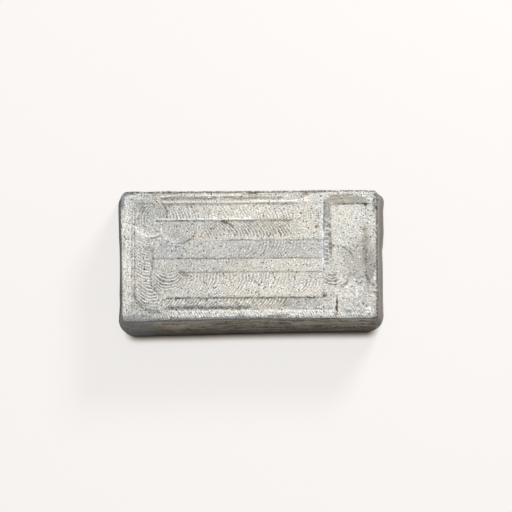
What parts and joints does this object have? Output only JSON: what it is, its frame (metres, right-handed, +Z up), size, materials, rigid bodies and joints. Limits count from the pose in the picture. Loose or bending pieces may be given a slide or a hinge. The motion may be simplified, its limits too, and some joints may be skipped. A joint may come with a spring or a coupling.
{
  "type": "lead brick",
  "caption": "Rectangular cast lead brick with drafted sides, round upright corners and a planed upper face with overlapping cutter passes, used as stackable ballast or shielding.",
  "frame": {"origin": "middle of the larger face, which the brick lies on", "axes": "+X along the length, +Y across the width, +Z up through the planed face"},
  "size_m": [0.203, 0.1068, 0.0508],
  "materials": {
    "lead": "satin"
  },
  "bodies": {
    "root": {"brick": "lead"}
  },
  "joints": []
}
